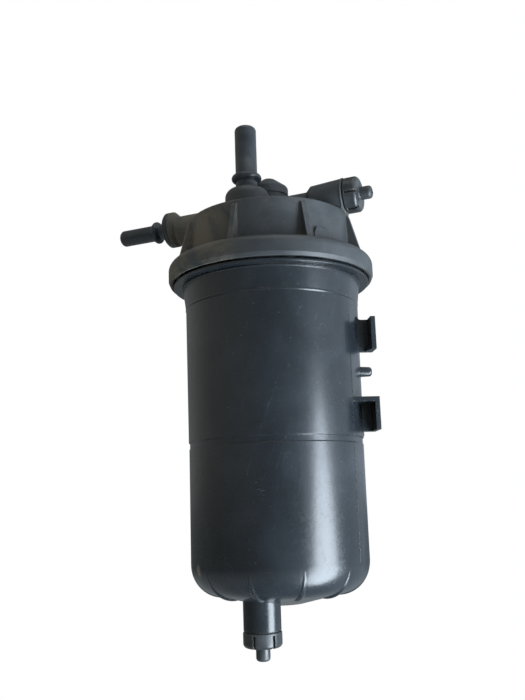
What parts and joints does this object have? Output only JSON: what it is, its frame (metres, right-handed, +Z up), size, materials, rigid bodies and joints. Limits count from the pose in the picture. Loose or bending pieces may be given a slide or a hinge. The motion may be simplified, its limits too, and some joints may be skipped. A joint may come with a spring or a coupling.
{
  "type": "fuel filter",
  "caption": "Diesel fuel filter: ribbed-bottom bowl with screw-on lid, vertical and side pipe stubs, water drain and bleed screws, pleated element.",
  "frame": {"origin": "on the bowl's axis, in the middle of the plain barrel that a band clamp grips", "axes": "+Z up along the bowl's axis towards the lid, +X towards the bracket wings"},
  "size_m": [0.1187, 0.0934, 0.2338],
  "materials": {
    "bowl_black": "glossy moulded, scuffed",
    "lid_charcoal": "matte moulded, dusty",
    "stub_black": "satin moulded",
    "screw_black": "satin moulded",
    "seal_rubber": "matte",
    "filter_paper": "matte pleated",
    "element_plastic": "satin moulded",
    "screen_plastic": "fine mesh"
  },
  "bodies": {
    "bowl": {"bowl": "bowl_black", "filter_media": "filter_paper", "upper_end_cap": "element_plastic", "lower_end_cap": "element_plastic", "core_tube": "element_plastic", "water_screen": "screen_plastic", "neck_seal": "seal_rubber", "element_support": "element_plastic"},
    "lid_carriage": {"lid_seal": "seal_rubber"},
    "lid": {"lid": "lid_charcoal", "outlet_spigot": "stub_black", "outlet_spigot_seal": "seal_rubber", "inlet_spigot": "stub_black", "inlet_spigot_seal": "seal_rubber", "centre_plug": "lid_charcoal", "centre_plug_seal": "seal_rubber"},
    "bleed_carriage": {"bleed_head_seal": "seal_rubber"},
    "bleed_screw": {"bleed_screw": "screw_black", "bleed_tip_seal": "seal_rubber"},
    "drain_carriage": {"drain_head_seal": "seal_rubber"},
    "drain_screw": {"drain_screw": "screw_black", "drain_tip_seal": "seal_rubber"}
  },
  "joints": [
    {"name": "lid_lift", "type": "slide", "parent": "bowl", "child": "lid_carriage", "axis": [0, 0, 1], "range_m": [0, 0.00501]},
    {"name": "lid_turn", "type": "hinge", "parent": "lid_carriage", "child": "lid", "pos_m": [0, 0, 0.1], "axis": [0, 0, 1], "range_deg": [0, 450]},
    {"name": "bleed_travel", "type": "slide", "parent": "lid", "child": "bleed_carriage", "axis": [0.8829, -0.4695, 0], "range_m": [0, 0.003]},
    {"name": "bleed_turn", "type": "hinge", "parent": "bleed_carriage", "child": "bleed_screw", "pos_m": [0.03355, -0.01784, 0.1331], "axis": [0.8829, -0.4695, 0], "range_deg": [0, 540.5]},
    {"name": "drain_travel", "type": "slide", "parent": "bowl", "child": "drain_carriage", "axis": [0, 0, -1], "range_m": [0, 0.003]},
    {"name": "drain_turn", "type": "hinge", "parent": "drain_carriage", "child": "drain_screw", "pos_m": [-0.0095, -0.012, -0.0523], "axis": [0, 0, -1], "range_deg": [0, 540.5]}
  ],
  "couplings": [
    {"joint": "lid_lift", "follows": "lid_turn", "m_per_rad": 0.00063662},
    {"joint": "bleed_turn", "follows": "bleed_travel", "rad_per_m": 3141.6},
    {"joint": "drain_turn", "follows": "drain_travel", "rad_per_m": 3141.6}
  ]
}
